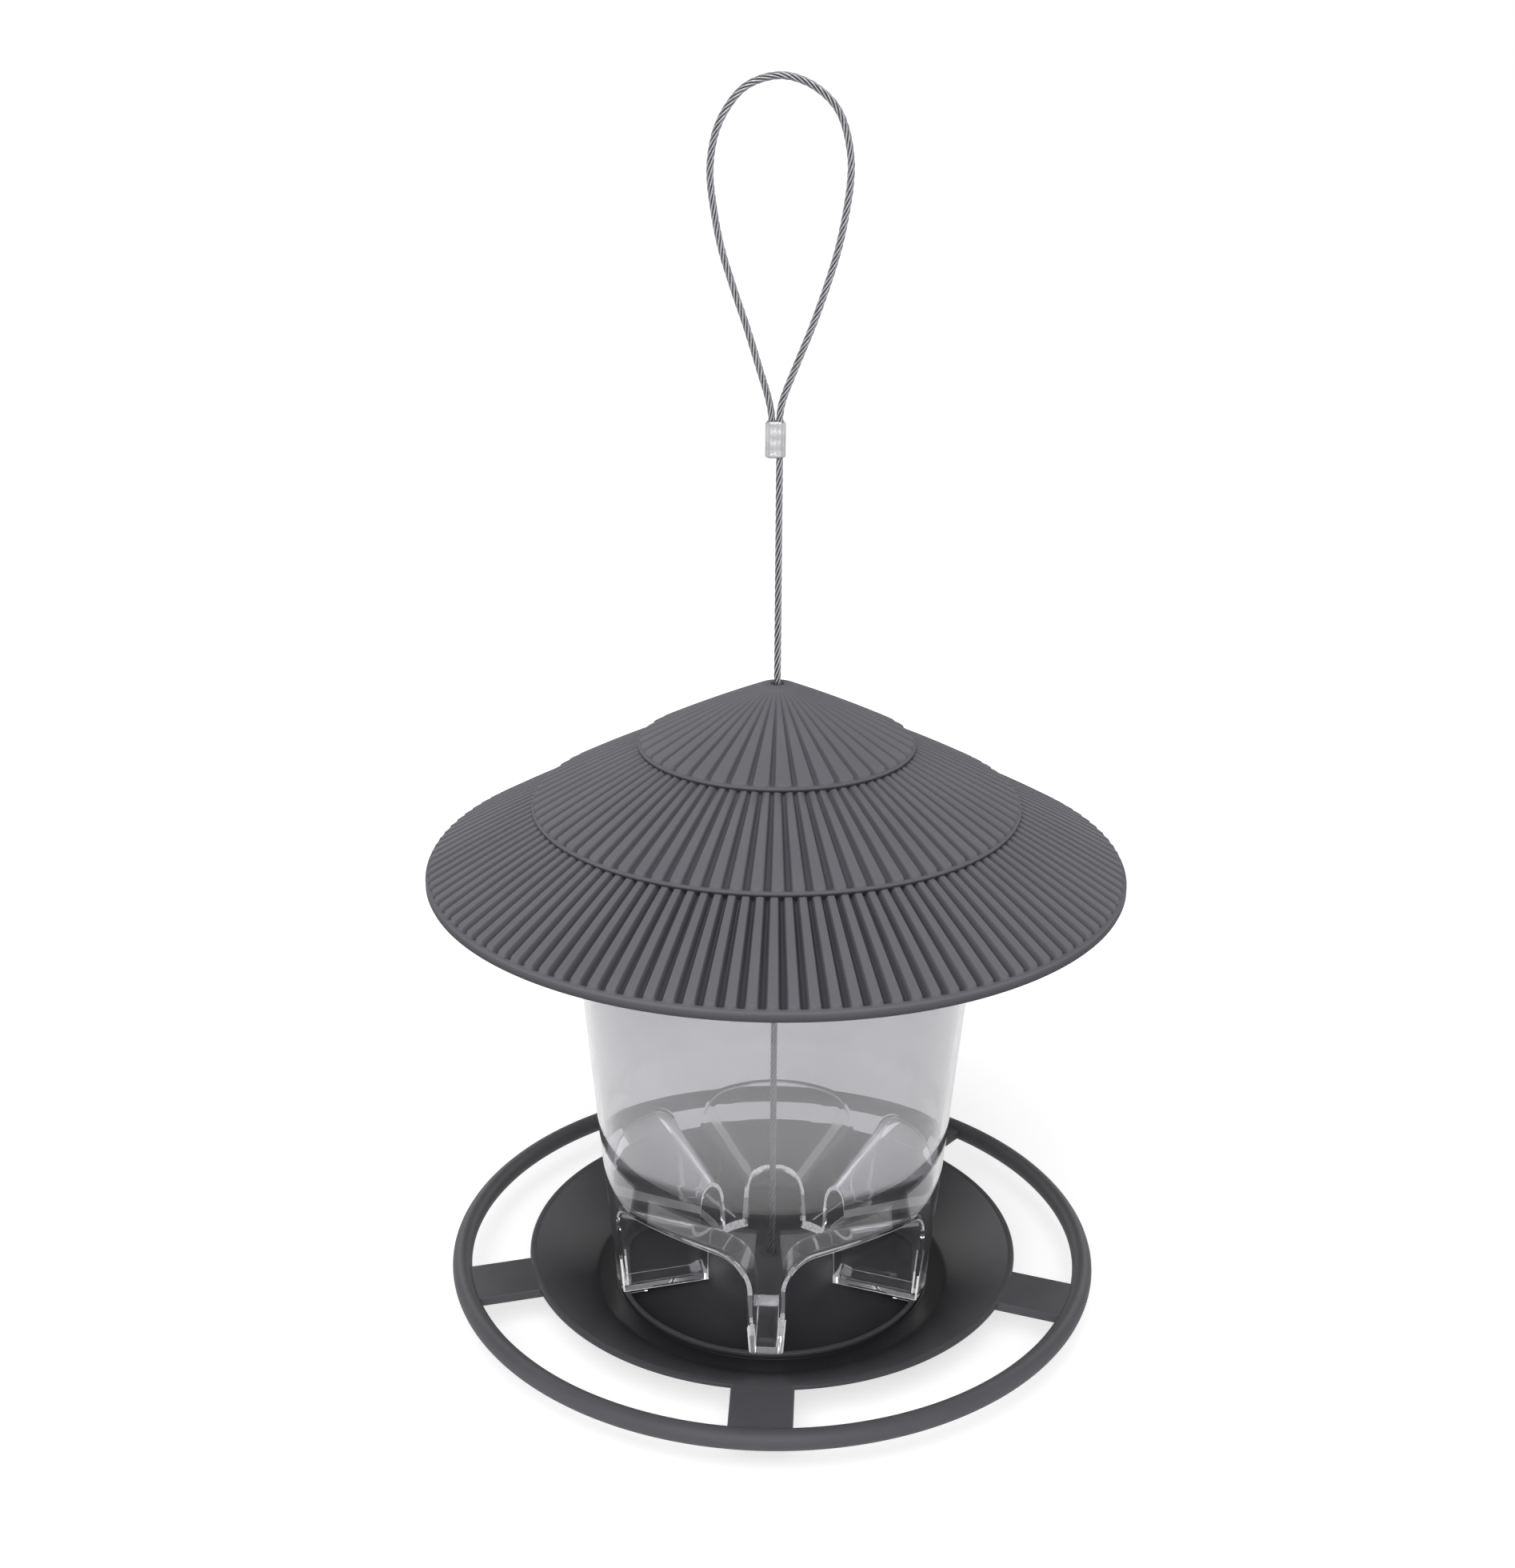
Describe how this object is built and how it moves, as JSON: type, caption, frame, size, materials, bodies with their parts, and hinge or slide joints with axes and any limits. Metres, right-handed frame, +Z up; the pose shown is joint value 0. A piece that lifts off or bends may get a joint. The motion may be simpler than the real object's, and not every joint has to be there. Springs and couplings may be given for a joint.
{
  "type": "hanging bird feeder",
  "caption": "Hanging seed feeder: ribbed tiered roof, clear tapered hopper with arched ports, dish with perch ring, on a wire rope with a crimped loop.",
  "frame": {"origin": "under the middle of the dish, on the surface that it can stand on", "axes": "+Z up along the rope, -Y towards the picture's camera, with a leg, a spoke and a groove at the front; the loop lies in the X-Z plane"},
  "size_m": [0.204, 0.204, 0.3605],
  "materials": {
    "dish_plastic": "satin dark grey moulding",
    "clear_plastic": "clear polished moulding",
    "roof_plastic": "fine satin mid-grey moulding",
    "wire_rope": "stranded bright wire",
    "aluminium": "pressed, slightly dull"
  },
  "bodies": {
    "dish": {"dish": "dish_plastic", "perch_ring": "dish_plastic"},
    "hopper": {"hopper": "clear_plastic"},
    "roof": {"roof": "roof_plastic"},
    "rope": {"hanging_rope": "wire_rope", "loop_ferrule": "aluminium", "stop_ferrule": "aluminium"}
  },
  "joints": [
    {"name": "hopper_lift", "type": "slide", "parent": "dish", "child": "hopper", "axis": [0, 0, 1], "range_m": [0, 0.012]},
    {"name": "roof_lift", "type": "slide", "parent": "hopper", "child": "roof", "axis": [0, 0, 1], "range_m": [0, 0.052]},
    {"name": "rope_swivel", "type": "hinge", "parent": "dish", "child": "rope", "pos_m": [0, 0, 0.006], "axis": [0, 0, 1], "continuous": true}
  ]
}
